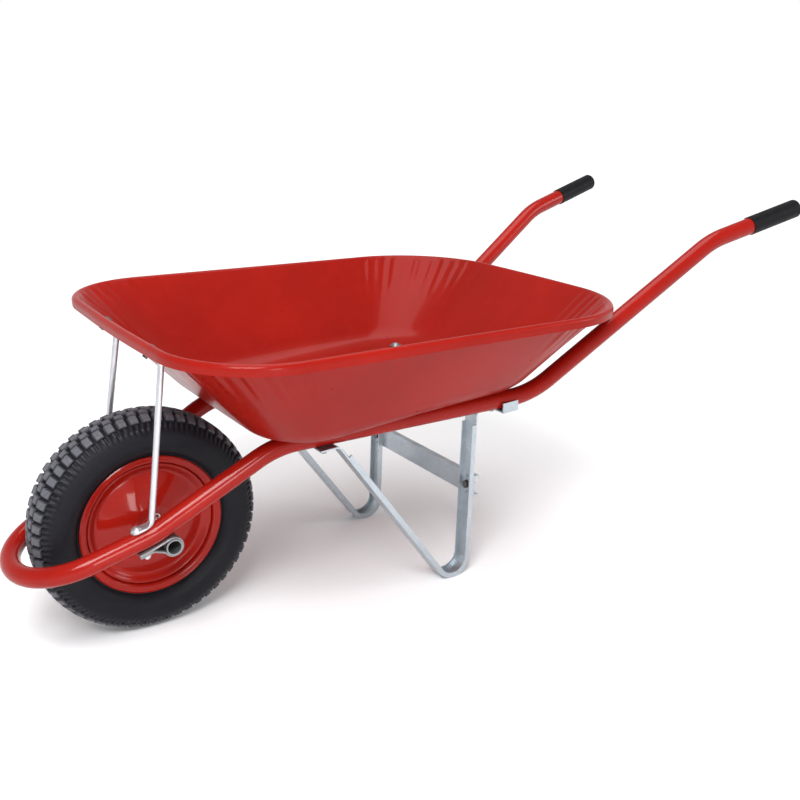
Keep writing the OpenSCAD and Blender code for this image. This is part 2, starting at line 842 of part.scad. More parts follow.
module hub_tube() {
    color("firebrick")
        place()
            at_axle()
                ring(hub_r - hub_wall, hub_r, -hub_len/2, hub_len/2);
}
bush_len = 22;
module bush() {
    difference() {
        union() {
            ring(0, hub_r - hub_wall - press_gap, hub_len/2 - bush_len, hub_len/2 + eps);
            ring(0, hub_r - 0.5, hub_len/2, hub_len/2 + bush_flange);
        }
        cylinder(h = hub_len, r = axle_r + run_fit);
    }
}
module left_hub_bush() {
    color("ivory")
        place()
            at_axle()
                mirror([0, 0, 1])
                    bush();
}
module right_hub_bush() {
    color("ivory")
        place()
            at_axle()
                bush();
}

// Tyre section: half width at angle a of its oval, measured from the bead side
tyre_mid_r = seat_r + (tyre_r - seat_r)*0.46;
tyre_n = 18;
function oval(a, w, up, down) = let(s = sin(a), c = cos(a))
    [tyre_mid_r + (s > 0 ? up : down)*sign(s)*pow(abs(s), 0.85), w*sign(c)*pow(abs(c), 0.75)];
bead_a = -50;
function tyre_side(w, up, down) = [for (i = [0 : tyre_n])
    oval(bead_a + (90 - bead_a)*i/tyre_n, w, up, down)];
function both_halves(p) = concat(p, [for (i = [len(p) - 2 : -1 : 0]) [p[i].x, -p[i].y]]);
bead_w = flange_y - 0.5;
bead_out = [[seat_r + press_gap, bead_w - 9], [seat_r + press_gap, bead_w - 2], [seat_r + 3, bead_w],
            [flange_r - 1, bead_w]];
tyre_up = tyre_r - tyre_mid_r;
tyre_down = tyre_mid_r - flange_r + 3;
outer_line = concat(bead_out, tyre_side(tyre_w/2, tyre_up, tyre_down));
cavity_up = tyre_up - tread_t;
cavity_w = tyre_w/2 - tyre_wall;
cavity_line = concat([[seat_r + press_gap, bead_w - 9]], tyre_side(cavity_w, cavity_up, tyre_down - 1));
module tyre() {
    color("#232325")
        place()
            at_axle()
                rotate_extrude()
                    difference() {
                        polygon(both_halves(outer_line));
                        polygon(both_halves(cavity_line));
                    }
}
air_gap = 0.3;
tube_line = concat([[seat_r + air_gap, bead_w - 9 - air_gap]],
    tyre_side(cavity_w - air_gap, cavity_up - air_gap, tyre_down - 1 - air_gap));
inner_line = concat([[seat_r + air_gap + inner_wall, bead_w - 9 - inner_wall]],
    tyre_side(cavity_w - inner_wall, cavity_up - inner_wall, tyre_down - 1 - inner_wall));
module inner_tube() {
    color("#2c2c2e")
        place()
            at_axle()
                rotate_extrude()
                    difference() {
                        polygon(both_halves(tube_line));
                        polygon(both_halves(inner_line));
                    }
}

// The valve leans out of the rim well through the right-hand disc
valve_lean = 62;
valve_root = 4;
cap_len = 12;
module at_valve() {
    translate([0, 6, axle_z - seat_r])
        rotate([-valve_lean, 0, 0])
            children();
}
module valve_stem() {
    color("#2c2c2e")
        place()
            difference() {
                at_valve() {
                    cylinder(h = valve_len - cap_len, r = valve_d/2);
                    cylinder(h = valve_len - 3, r = valve_d/2 - 2);
                }
                at_axle() ring(seat_r + air_gap/2, tyre_mid_r, 0, flange_y);
            }
}
module valve_cap() {
    color("#1b1b1d")
        place()
            at_valve()
                translate([0, 0, valve_len - cap_len])
                    difference() {
                        cylinder(h = cap_len, r = valve_d/2 - 0.5);
                        translate([0, 0, -through])
                            cylinder(h = cap_len - 3 + through, r = valve_d/2 - 2 + press_gap);
                    }
}

// ---- legs ----------------------------------------------------------------
function under_z(x) = deck_z(x) - tube_r/cos(deck_angle);
tab_front = 15;
tab_rear = 14;
tab_bend_r = 12;
tab_bend_x = leg_front_x + 18;
lean_x = tan(upright_lean);
strap_drop = leg_t/cos(deck_angle);
upright_top_z = under_z(upright_x) - strap_drop;
// The upright's front face at height z
function upright_at(z) = upright_x - (upright_top_z - z)*lean_x;
foot_bend_z = leg_t + foot_r;
// Centre of the foot bend; both legs of the bend are tangent to its circle
foot_c = [upright_at(foot_bend_z) - foot_r/cos(upright_lean), foot_bend_z];
tab_corner = [tab_bend_x, under_z(tab_bend_x)];
to_centre = foot_c - tab_corner;
slope_a = atan2(-to_centre.y, to_centre.x) + asin(foot_r/norm(to_centre));
foot_corner = let(s = [cos(slope_a), -sin(slope_a)], u = [sin(upright_lean), cos(upright_lean)],
                  d = [upright_at(0), 0] - tab_corner,
                  t = (d.x*u.y - d.y*u.x)/(s.x*u.y - s.y*u.x))
    tab_corner + t*s;
leg_path = [[leg_front_x - tab_front, under_z(leg_front_x - tab_front)],
            tab_corner,
            foot_corner,
            [upright_x, upright_top_z],
            [leg_rear_x + tab_rear, under_z(leg_rear_x + tab_rear) - strap_drop]];
flange_from = tab_corner + unit(foot_corner - tab_corner)*28;
flange_to = [upright_at(upright_top_z - 26), upright_top_z - 26];

// A strip with bent ends, and two flanges that make its middle a channel
module leg() {
    rotate([90, 0, 0]) {
        linear_extrude(leg_w, center = true)
            polygon(band(leg_path, [0, tab_bend_r, foot_r, tab_bend_r, 0], -leg_t, 0));
        for (s = [0, 1])
            mirror([0, 0, s])
                translate([0, 0, leg_w/2 - leg_t])
                    linear_extrude(leg_t)
                        polygon(band([flange_from, foot_corner, flange_to], [0, foot_r, 0],
                                     -leg_t/2, channel_h - leg_t));
    }
}
module leg_on(side) {
    color("lightsteelblue")
        place()
            children_at(side)
                difference() {
                    translate([0, leg_half, 0])
                        leg();
                    at_leg_front() bolt_hole(tube_d, 0);
                    at_rear_bolt() bolt_hole(tube_d, 0);
                    at_brace_bolt() bolt_hole(tube_d, tube_d);
                    for (s = [-1, 1])
                        at_brace_bolt() translate([s*brace_h*0.4, 0, 0])
                            cylinder(h = tube_d, r = bolt_r*0.5, center = true);
                }
}
module left_leg() { leg_on(LEFT); }
module right_leg() { leg_on(RIGHT); }

// z out of the upright's front face, x along the upright, origin on that face
module at_brace_bolt() {
    translate([upright_at(brace_z), leg_half, brace_z])
        rotate([0, upright_lean - 90, 0])
            children();
}
module leg_brace() {
    color("lightsteelblue")
        place()
            difference() {
                translate([upright_at(brace_z), 0, brace_z])
                    rotate([0, upright_lean, 0])
                        translate([leg_t, 0, 0])
                            brace_body();
                both_sides()
                    at_brace_bolt() bolt_hole(tube_d, tube_d);
            }
}
brace_len = 2*leg_half + leg_w + 1;
module brace_body() {
    translate([0, -brace_len/2, -brace_h/2])
        cube([leg_t, brace_len, brace_h]);
    for (s = [0, 1])
        mirror([0, 0, s])
            translate([0, -brace_len/2, brace_h/2 - leg_t])
                cube([brace_flange, brace_len, leg_t]);
}
module brace_bolts() {
    color("dimgray")
        place()
            both_sides()
                at_brace_bolt() hex_bolt(2*leg_t);
}
module brace_nuts() {
    color("dimgray")
        place()
            both_sides()
                at_brace_bolt() translate([0, 0, -2*leg_t - nut_h]) nut();
}

// ---- rear strap and the bolts through the deck ---------------------------
strap_lip = 15;
module rear_strap() {
    color("lightsteelblue")
        place()
            difference() {
                deck()
                    translate([deck_x(leg_rear_x) - strap_w/2, 0, -tube_r])
                        strap_body();
                both_sides() {
                    at_rear_bolt() bolt_hole(tube_d, 0);
                    tube_room(3, 5);
                }
            }
}
// Flat under both tubes, turned up at their outer sides
strap_half = deck_half(leg_rear_x + strap_w/2) + tube_r + 0.3;
module strap_body() {
    translate([0, -strap_half - leg_t, -leg_t])
        cube([strap_w, 2*(strap_half + leg_t), leg_t]);
    for (s = [0, 1])
        mirror([0, s, 0])
            translate([0, strap_half, -leg_t])
                cube([strap_w, leg_t, strap_lip + leg_t]);
}

washer_t = 1.5;
washer_r = head_d/2 + 2;
front_hold = floor_top + tube_r + leg_t;
rear_hold = front_hold + leg_t;
module leg_front_bolts() {
    color("silver")
        place()
            both_sides()
                at_leg_front() translate([0, 0, floor_top]) dome_bolt(front_hold, washer_t);
}
module leg_front_nuts() {
    color("silver")
        place()
            both_sides()
                at_leg_front() translate([0, 0, floor_top - front_hold - nut_h]) nut();
}
module rear_bolts() {
    color("silver")
        place()
            both_sides()
                at_rear_bolt() translate([0, 0, floor_top]) dome_bolt(rear_hold, washer_t + seat_lift);
}
module rear_nuts() {
    color("silver")
        place()
            both_sides()
                at_rear_bolt() translate([0, 0, floor_top - rear_hold - nut_h]) nut();
}
module tray_washers() {
    color("silver")
        place()
            both_sides() {
                at_leg_front() translate([0, 0, floor_top]) ring(hole_r, washer_r, 0, washer_t);
                at_rear_bolt() translate([0, 0, floor_top + seat_lift]) ring(hole_r, washer_r, 0, washer_t);
            }
}

tray();
frame_tube();
left_grip();
right_grip();
left_strut();
right_strut();
strut_top_bolts();
strut_top_nuts();
left_axle_clip();
right_axle_clip();
clip_bolts();
clip_nuts();
axle_tube();
axle_washers();
cotter_pins();
tyre();
inner_tube();
valve_stem();
valve_cap();
rim_band();
left_rim_disc();
right_rim_disc();
hub_tube();
left_hub_bush();
right_hub_bush();
left_leg();
right_leg();
leg_brace();
brace_bolts();
brace_nuts();
leg_front_bolts();
leg_front_nuts();
rear_strap();
rear_bolts();
rear_nuts();
tray_washers();
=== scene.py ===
"""The builder's wheelbarrow as it looks: materials, detailed pieces, floor, lights and camera."""
import math
from collections import namedtuple

import bpy
import numpy as np
from mathutils import Matrix, Vector


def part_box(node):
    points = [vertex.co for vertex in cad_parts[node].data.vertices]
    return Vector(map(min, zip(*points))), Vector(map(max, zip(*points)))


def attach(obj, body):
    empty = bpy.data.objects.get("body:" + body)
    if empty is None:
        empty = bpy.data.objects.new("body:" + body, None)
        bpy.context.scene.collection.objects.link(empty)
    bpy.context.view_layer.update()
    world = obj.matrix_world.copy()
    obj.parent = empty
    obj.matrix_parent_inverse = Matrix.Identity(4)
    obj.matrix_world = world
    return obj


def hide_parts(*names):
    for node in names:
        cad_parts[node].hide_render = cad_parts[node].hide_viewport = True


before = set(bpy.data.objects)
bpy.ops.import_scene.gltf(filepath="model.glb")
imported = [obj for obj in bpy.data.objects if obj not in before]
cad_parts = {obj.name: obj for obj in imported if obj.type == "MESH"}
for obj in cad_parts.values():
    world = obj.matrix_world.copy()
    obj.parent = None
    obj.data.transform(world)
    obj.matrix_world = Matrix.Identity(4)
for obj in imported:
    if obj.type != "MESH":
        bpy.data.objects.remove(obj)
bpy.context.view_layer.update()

# Shapes are worked out in mm. AX and AZ are the axle's place in metres.
MM = 0.001
axle_lo, axle_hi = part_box("axle_tube")
AX = (axle_lo[0] + axle_hi[0]) / 2
AZ = (axle_lo[2] + axle_hi[2]) / 2
SIDES = ((-1, "left"), (1, "right"))


# ---------------------------------------------------------------- material nodes
def material(name, colour, rough, metal=0.0, coat=0.0, coat_rough=0.1, specular=0.5):
    mat = bpy.data.materials.new(name)
    mat.use_nodes = True
    tree = mat.node_tree
    shader = tree.nodes["Principled BSDF"]
    shader.inputs["Base Color"].default_value = (*colour, 1)
    shader.inputs["Roughness"].default_value = rough
    shader.inputs["Metallic"].default_value = metal
    shader.inputs["Coat Weight"].default_value = coat
    shader.inputs["Coat Roughness"].default_value = coat_rough
    shader.inputs["Specular IOR Level"].default_value = specular
    return mat, tree, shader


def node(tree, kind, **values):
    """A new node, with each value given to the socket or setting of that name."""
    new = tree.nodes.new(kind)
    for key, value in values.items():
        if key in new.inputs:
            new.inputs[key].default_value = value
        else:
            setattr(new, key, value)
    return new


def coords(tree):
    return tree.nodes.new("ShaderNodeTexCoord").outputs["Object"]


def noise(tree, scale, detail, rough=0.5):
    new = node(tree, "ShaderNodeTexNoise", Scale=scale, Detail=detail, Roughness=rough)
    tree.links.new(coords(tree), new.inputs["Vector"])
    return new.outputs["Fac"]


def cells(tree, scale, feature, output):
    new = node(tree, "ShaderNodeTexVoronoi", Scale=scale, feature=feature)
    tree.links.new(coords(tree), new.inputs["Vector"])
    return new.outputs[output]


def spread(tree, fac, from_min, from_max, to_min, to_max):
    """Maps one range of fac onto another and holds it at the ends."""
    new = tree.nodes.new("ShaderNodeMapRange")
    for socket, value in zip(new.inputs[1:5], (from_min, from_max, to_min, to_max)):
        socket.default_value = value
    tree.links.new(fac, new.inputs["Value"])
    return new.outputs["Result"]


def mix(tree, fac, first, second):
    """Blends two colours by fac. Each is a socket or a plain colour."""
    new = node(tree, "ShaderNodeMix", data_type="RGBA")
    colour_a, colour_b, colour_result = new.inputs[6], new.inputs[7], new.outputs[2]
    tree.links.new(fac, new.inputs[0])
    for socket, value in ((colour_a, first), (colour_b, second)):
        if isinstance(value, bpy.types.NodeSocket):
            tree.links.new(value, socket)
        else:
            socket.default_value = (*value, 1)
    return colour_result


def bump(tree, shader, layers):
    """Stacked bumps from (height, strength, distance in metres)."""
    last = None
    for height, strength, distance in layers:
        new = node(tree, "ShaderNodeBump", Strength=strength, Distance=distance)
        tree.links.new(height, new.inputs["Height"])
        if last is not None:
            tree.links.new(last, new.inputs["Normal"])
        last = new.outputs["Normal"]
    tree.links.new(last, shader.inputs["Normal"])


def tint(colour, factor):
    return tuple(min(1, c * factor) for c in colour)


# ---------------------------------------------------------------- materials
def red_paint(name, colour, rough, coat):
    """Gloss paint with broad shade changes, faint speckle and orange peel."""
    mat, tree, shader = material(name, colour, rough, coat=coat, coat_rough=0.07, specular=0.08)
    shade = noise(tree, 5, 3)
    speckle = noise(tree, 38, 5, 0.6)
    base = mix(tree, spread(tree, shade, 0.35, 0.65, 0, 1), tint(colour, 0.90), tint(colour, 1.09))
    base = mix(tree, spread(tree, speckle, 0.5, 0.9, 0, 0.25), base, tint(colour, 1.35))
    tree.links.new(base, shader.inputs["Base Color"])
    tree.links.new(spread(tree, speckle, 0.3, 0.7, rough - 0.03, rough + 0.06),
                   shader.inputs["Roughness"])
    bump(tree, shader, [(noise(tree, 420, 2), 0.08, 0.0003), (noise(tree, 22, 2), 0.10, 0.0015)])
    return mat


def zinc(name, colour, rough, spangle, contrast):
    """Zinc coating: small crystals of slightly different tone, with duller clouds over them."""
    mat, tree, shader = material(name, colour, rough, metal=0.85)
    tone = spread(tree, cells(tree, spangle, "F1", "Color"), 0, 1, 0, 1)
    cloud = noise(tree, 45, 5, 0.6)
    base = mix(tree, tone, tint(colour, 1 - contrast), tint(colour, 1 + contrast))
    base = mix(tree, spread(tree, cloud, 0.45, 0.75, 0, 0.4), base, tint(colour, 0.80))
    tree.links.new(base, shader.inputs["Base Color"])
    tree.links.new(spread(tree, cloud, 0.3, 0.7, rough - 0.08, rough + 0.12),
                   shader.inputs["Roughness"])
    bump(tree, shader, [(noise(tree, 700, 2), 0.05, 0.0002), (cloud, 0.03, 0.0005)])
    return mat


def tyre_rubber():
    """Black rubber with painted light: lighter grey on the raised lug faces and sidewall ribs, as the mesh's
    attribute gives, with the grooves left black as painted shade.
    """
    mat, tree, shader = material("tyre_rubber", (0.007, 0.007, 0.010), 0.45, specular=0.14)
    # The mesh attribute read here says how much light is painted on each point: the raised lug faces and
    # sidewall ribs.
    painted_relief_light = node(tree, "ShaderNodeAttribute", attribute_name="painted_relief_light").outputs["Fac"]
    cloud = noise(tree, 28, 5, 0.6)
    fine = noise(tree, 300, 4, 0.6)
    base = mix(tree, cloud, (0.004, 0.004, 0.006), (0.009, 0.009, 0.012))
    base = mix(tree, spread(tree, fine, 0.5, 0.8, 0, 0.20), base, (0.028, 0.028, 0.035))
    relief_light = node(tree, "ShaderNodeMath", operation="MULTIPLY")
    tree.links.new(painted_relief_light, relief_light.inputs[0])
    tree.links.new(spread(tree, fine, 0.25, 0.6, 0.55, 1.0), relief_light.inputs[1])
    # Painted light: lighter grey on the raised faces, broken up by the fine grain.
    base = mix(tree, relief_light.outputs[0], base, (0.105, 0.105, 0.120))
    tree.links.new(base, shader.inputs["Base Color"])
    tree.links.new(spread(tree, cloud, 0.3, 0.7, 0.38, 0.55), shader.inputs["Roughness"])
    bump(tree, shader, [(fine, 0.25, 0.0004), (cloud, 0.1, 0.001)])
    return mat


def moulded(name, colour, rough, grain):
    """Moulded rubber or plastic with a fine grain."""
    mat, tree, shader = material(name, colour, rough, specular=0.12)
    edges = cells(tree, grain, "DISTANCE_TO_EDGE", "Distance")
    cloud = noise(tree, 70, 4)
    base = mix(tree, cloud, tint(colour, 0.7), tint(colour, 1.5))
    tree.links.new(base, shader.inputs["Base Color"])
    tree.links.new(spread(tree, cloud, 0.3, 0.7, rough - 0.08, rough + 0.1), shader.inputs["Roughness"])
    bump(tree, shader, [(edges, 0.25, 0.0004), (cloud, 0.1, 0.0008)])
    return mat


RED = (0.235, 0.0065, 0.0032)
PAINT = red_paint("red_paint", RED, rough=0.30, coat=0.10)
TUBE_PAINT = red_paint("tube_paint", (0.26, 0.0070, 0.0034), rough=0.22, coat=0.24)
WHEEL_PAINT = red_paint("wheel_paint", RED, rough=0.22, coat=0.30)
GALVANISED = zinc("galvanised_steel", (0.44, 0.49, 0.53), rough=0.33, spangle=240, contrast=0.05)
BRIGHT_ZINC = zinc("bright_zinc", (0.62, 0.63, 0.65), rough=0.30, spangle=420, contrast=0.05)
STRUT_ZINC = zinc("strut_zinc", (0.56, 0.57, 0.60), rough=0.34, spangle=300, contrast=0.05)
AXLE_ZINC = zinc("axle_zinc", (0.26, 0.26, 0.27), rough=0.38, spangle=420, contrast=0.08)
DARK_ZINC = zinc("dark_zinc", (0.12, 0.11, 0.11), rough=0.40, spangle=500, contrast=0.10)
TYRE = tyre_rubber()
RUBBER = moulded("inner_rubber", (0.03, 0.03, 0.032), rough=0.6, grain=900)
GRIP = moulded("grip_rubber", (0.004, 0.004, 0.005), rough=0.50, grain=1100)
PLASTIC = moulded("cap_plastic", (0.015, 0.015, 0.016), rough=0.45, grain=1500)
NYLON = moulded("bush_nylon", (0.62, 0.58, 0.48), rough=0.5, grain=1500)

MATERIAL_OF = {name: mat for mat, names in (
    (PAINT, ["tray"]),
    (TUBE_PAINT, ["frame_tube"]),
    (WHEEL_PAINT, ["rim_band", "left_rim_disc", "right_rim_disc", "hub_tube"]),
    (GALVANISED, ["left_leg", "right_leg", "leg_brace", "rear_strap"]),
    (STRUT_ZINC, ["left_strut", "right_strut"]),
    (AXLE_ZINC, ["axle_tube", "rear_bolts", "leg_front_bolts", "tray_washers"]),
    (DARK_ZINC, ["strut_top_bolts", "strut_top_nuts", "brace_bolts", "brace_nuts"]),
    (TYRE, ["tyre"]),
    (RUBBER, ["inner_tube", "valve_stem"]),
    (GRIP, ["left_grip", "right_grip"]),
    (PLASTIC, ["valve_cap"]),
    (NYLON, ["left_hub_bush", "right_hub_bush"]),
) for name in names}
for name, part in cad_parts.items():
    part.data.materials.clear()
    part.data.materials.append(MATERIAL_OF.get(name, BRIGHT_ZINC))


# ---------------------------------------------------------------- mesh helpers
def make(name, mesh, mat, body, sharp, replaces=(), painted_relief_light=None):
    """A smooth-shaded piece on a body, with edges over sharp degrees kept crisp."""
    data = bpy.data.meshes.new(name)
    verts, faces = mesh
    data.from_pydata([tuple(v) for v in verts], [], faces)
    data.validate()
    data.shade_smooth()
    data.set_sharp_from_angle(angle=math.radians(sharp))
    data.materials.append(mat)
    # The tyre's point attribute of light painted on its raised faces.
    if painted_relief_light is not None:
        layer = data.attributes.new("painted_relief_light", "FLOAT", "POINT")
        layer.data.foreach_set("value", np.asarray(painted_relief_light, dtype=np.float32))
    piece = bpy.data.objects.new(name, data)
    bpy.context.scene.collection.objects.link(piece)
    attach(piece, body)
    if replaces:
        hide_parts(*replaces)


def skin(rows, close_rows=False, close_ring=True, cap=False, flip=False):
    """Quads over rows of equally many points."""
    n, m = len(rows), len(rows[0])
    verts = [point for row in rows for point in row]
    faces = []
    for i in range(n if close_rows else n - 1):
        for j in range(m if close_ring else m - 1):
            here, there = i * m, (i + 1) % n * m
            after = (j + 1) % m
            faces.append((here + j, here + after, there + after, there + j))
    if cap:
        faces.append(tuple(range(m))[::-1])
        faces.append(tuple((n - 1) * m + j for j in range(m)))
    if flip:
        faces = [face[::-1] for face in faces]
    return verts, faces


def smooth(x, start, end):
    """Rises from 0 at start to 1 at end, level at both."""
    t = min(1.0, max(0.0, (x - start) / (end - start)))
    return t * t * (3 - 2 * t)


def round_corners(line, times):
    """Cuts a line's corners and keeps its ends."""
    line = [np.array(point, float) for point in line]
    for _ in range(times):
        cut = [line[0]]
        for a, b in zip(line, line[1:]):
            cut += [a * 0.75 + b * 0.25, a * 0.25 + b * 0.75]
        line = cut + [line[-1]]
    return np.array(line)


def subdivide(line, step, least):
    """Adds points about a step apart, and at least so many to each stretch."""
    fine = []
    for a, b in zip(line, line[1:]):
        count = max(least, int(np.linalg.norm(b - a) / step))
        fine += [a + (b - a) * i / count for i in range(count)]
    return np.array(fine + [line[-1]])


def relax(line, times):
    """Draws each point towards its neighbours and keeps the ends."""
    for _ in range(times):
        line[1:-1] = (line[:-2] + line[1:-1] * 2 + line[2:]) / 4
    return line


def sheet_outline(line, thick):
    """A line of the radial plane and its offset to the right, as one ring."""
    along = np.gradient(line, axis=0)
    along /= np.linalg.norm(along, axis=1)[:, None]
    offset = line + thick * np.stack([along[:, 1], -along[:, 0]], axis=1)
    return np.vstack([line, offset[::-1]])


def round_axle(radius, y, angle):
    """A point by its radius from the axle, distance along it and angle about it."""
    return AX + radius * MM * math.cos(angle), y * MM, AZ + radius * MM * math.sin(angle)


def revolve(ring, steps, side=1):
    """Turns a closed ring of (radius, distance along the axle) about the axle."""
    angles = [2 * math.pi * i / steps for i in range(steps)]
    rows = [[round_axle(radius, side * y, angle) for radius, y in ring] for angle in angles]
    return skin(rows, close_rows=True, flip=side < 0)


# ---------------------------------------------------------------- tray
# Seen from above, x runs from the axle towards the grips. The deck is the rails' tilted plane.
Outline = namedtuple("Outline", "front rear front_half rear_half front_corner rear_corner")
TUBE_R = 15.0
SHEET = 1.5
TOP = TUBE_R + SHEET
DECK = math.radians(2.5)
FLOOR_FRONT, FRONT_OVERHANG = 141.967, 158
RIM = Outline(FLOOR_FRONT - FRONT_OVERHANG, 783, 325, 318, 146, 183)
FLOOR = Outline(FLOOR_FRONT / math.cos(DECK), 620 / math.cos(DECK), 209, 198, 88, 88)
FRONT_RISE, REAR_RISE = 182, 136
FILLET, LIP_R, LIP_H, BOW = 34, 7, 15, 7
END_STEPS, CORNER_STEPS, SIDE_STEPS = 16, 56, 44
BEND_STEPS, WALL_STEPS, LIP_STEPS = 14, 36, 12
FLUTE_PITCH, FRONT_FLUTE, REAR_FLUTE = 24.0, 1.6, 1.8

# The floor's upper face passes through this point, from the axle
FLOOR_X, FLOOR_RISE = 380, 152.54
DECK_Z0 = AZ / MM + FLOOR_RISE - TOP / math.cos(DECK) - FLOOR_X * math.tan(DECK)


def deck_place(x, y, z):
    """From the deck's plane to mm from the axle along x, the middle along y and the ground along z."""
    return (x * math.cos(DECK) - z * math.sin(DECK), y,
            DECK_Z0 + x * math.sin(DECK) + z * math.cos(DECK))


def place(point, side=1):
    x, y, z = point
    return np.array([AX + x * MM, side * y * MM, z * MM])


def whole_outline(o):
    """A rounded outline, from the front's middle round the right side, the rear and the left side."""
    lean = math.atan((o.rear_half - o.front_half) / (o.rear - o.front))
    front = np.array([o.front + o.front_corner,
                      o.front_half - o.front_corner * (1 - math.sin(lean)) / math.cos(lean)])
    rear = np.array([o.rear - o.rear_corner,
                     o.rear_half - o.rear_corner * (1 + math.sin(lean)) / math.cos(lean)])
    outward = np.array([-math.sin(lean), math.cos(lean)])
    start, end = front + o.front_corner * outward, rear + o.rear_corner * outward

    def corner(centre, radius, first, last):
        angles = [first + (last - first) * i / CORNER_STEPS for i in range(CORNER_STEPS)]
        return [centre + radius * np.array([math.cos(a), math.sin(a)]) for a in angles]

    half = [np.array([o.front, front[1] * i / END_STEPS]) for i in range(END_STEPS)]
    half += corner(front, o.front_corner, math.pi, math.pi / 2 + lean)
    half += [start + (end - start) * i / SIDE_STEPS for i in range(SIDE_STEPS)]
    half += corner(rear, o.rear_corner, math.pi / 2 + lean, 0)
    half += [np.array([o.rear, rear[1] * (1 - i / END_STEPS)]) for i in range(END_STEPS + 1)]
    return half + [point * [1, -1] for point in half[-2:0:-1]]


def bowed(point):
    """The rim's front and rear edges bow outwards."""
    x, y = point
    part = (x - RIM.front) / (RIM.rear - RIM.front)
    bow = BOW * math.cos(math.pi / 2 * min(1, abs(y) / RIM.front_half)) ** 2
    return np.array([x + bow * (part ** 6 - (1 - part) ** 6), y])


def rim_top(x):
    return TUBE_R + FRONT_RISE + (REAR_RISE - FRONT_RISE) * (x - RIM.front) / (RIM.rear - RIM.front)


def flute(x, y):
    """Draw marks: how high the press has fluted the sheet's corner on this line of the wall."""
    front, right = x < (RIM.front + RIM.rear) / 2, y > 0
    radius = RIM.front_corner if front else RIM.rear_corner
    centre_x = RIM.front + radius if front else RIM.rear - radius
    centre_y = (RIM.front_half if front else RIM.rear_half) - radius
    turn = math.degrees(math.atan2(abs(y) - centre_y, (centre_x - x) if front else (x - centre_x)))
    window = smooth(turn, -6, 14) * (1 - smooth(turn, 78, 104))
    pitch = FLUTE_PITCH / radius * 180 / math.pi
    uneven = 0.6 + 0.4 * math.sin(turn * 0.37 + (1.3 if right else 0.2) + (2.0 if front else 0))
    wave = math.sin(2 * math.pi * turn / pitch + (0.8 if right else 2.1))
    return (FRONT_FLUTE if front else REAR_FLUTE) * window * uneven * wave


def tray_section(floor, rim, height):
    """The sheet cut from the floor's edge over the rolled rim, as its upper and its lower face."""
    level = np.array([1.0, 0.0])
    span = np.linalg.norm(rim - floor)
    out = (rim - floor) / span
    reach, rise = span - LIP_R, rim_top(rim[0]) - LIP_R - TOP
    slope = math.atan2(rise, reach) + math.asin(LIP_R / math.hypot(reach, rise))
    wall = np.array([math.cos(slope), math.sin(slope)])
    lip = np.array([reach, rise])
    wall_start = FILLET * wall
    wall_end = lip + LIP_R * np.array([-math.sin(slope), math.cos(slope)])
    # Each point has the sheet's direction there and the part of the wall below it
    face = []
    for t in np.linspace(0, 1, BEND_STEPS + 1):
        along = (1 - t) * level + t * wall
        face.append((FILLET * (t ** 2 * wall - (1 - t) ** 2 * level), along / np.linalg.norm(along), 0.0))
    for i in range(1, WALL_STEPS + 1):
        t = i / (WALL_STEPS + 1)
        face.append((wall_start + (wall_end - wall_start) * t, wall, t))
    for i in range(LIP_STEPS + 1):
        turn = (math.pi / 2 + slope) * (1 - i / LIP_STEPS)
        face.append((lip + LIP_R * np.array([math.cos(turn), math.sin(turn)]),
                     np.array([math.sin(turn), -math.cos(turn)]), 1.0))
    for part in (0.5, 1.0):
        face.append((lip + np.array([LIP_R, (LIP_R - LIP_H) * part]), np.array([0, -1.0]), 1.0))
    upper, lower = [], []
    for point, along, part in face:
        normal = np.array([-along[1], along[0]])
        fluted = smooth(part, 0.38, 0.86) * (1 - smooth(part, 0.955, 1.0))
        upper.append(point + normal * height * fluted)
        lower.append(upper[-1] - normal * SHEET)
    return [place(deck_place(floor[0] + out[0] * reach_out, floor[1] + out[1] * reach_out, TOP + up))
            for reach_out, up in upper + lower[::-1]]


def fill(verts, faces, edge, flip):
    """Closes a ring of points with two smaller rings and a fan."""
    centre = np.mean([verts[i] for i in edge], axis=0)
    after = [(i + 1) % len(edge) for i in range(len(edge))]
    outer, added = edge, []
    for size in (0.66, 0.33):
        inner = [len(verts) + i for i in range(len(edge))]
        verts += [centre + (verts[i] - centre) * size for i in edge]
        added += [(outer[i], outer[j], inner[j], inner[i]) for i, j in enumerate(after)]
        outer = inner
    added += [(outer[i], outer[j], len(verts)) for i, j in enumerate(after)]
    verts.append(centre)
    faces += [face[::-1] for face in added] if flip else added


def tray_mesh():
    sections = [tray_section(floor, bowed(rim), flute(*rim))
                for floor, rim in zip(whole_outline(FLOOR), whole_outline(RIM))]
    verts, faces = skin(sections, close_rows=True, close_ring=False)
    points = len(sections[0])
    for column, flip in ((0, True), (points - 1, False)):
        fill(verts, faces, [i * points + column for i in range(len(sections))], flip)
    return verts, faces


make("tray_sheet", tray_mesh(), PAINT, "barrow", 50, ["tray"])


# ---------------------------------------------------------------- tyre
SEAT_R, FLANGE_R, TYRE_R, TYRE_HALF = 101.6, 112.6, 178.0, 45.0
MID_R = SEAT_R + (TYRE_R - SEAT_R) * 0.46
BEAD_HALF, BEAD_WIDE = 31.5, 9
LUGS, LUG_DEPTH = 58, 5.0
ROW_SPLIT, ROW_SHIFT, TREAD_END = 15.3, 0.12, 35.5
OVAL_STEPS, OVAL_TURN = 900, 140

# Where a section has its points, in mm from the tyre's middle along its skin: close at block edges
ACROSS = [0, 1.0, 2.1, 4, 7, 10, 12.6, 13.8, 15.3, 16.8, 18, 21, 25, 29, 32, 34, 35.4, 37, 39, 41.5, 44,
          47, 50, 53, 56, 58, 60, 63, 66, 70, 73, 75, 77, 80, 84, 88, 92, 96, 100, 104]
# Where each pitch of the tread has its sections
PITCH_PARTS = [0.0, 0.06, 0.14, 0.22, 0.265, 0.31, 0.40, 0.50, 0.60, 0.70, 0.80, 0.90, 0.955]


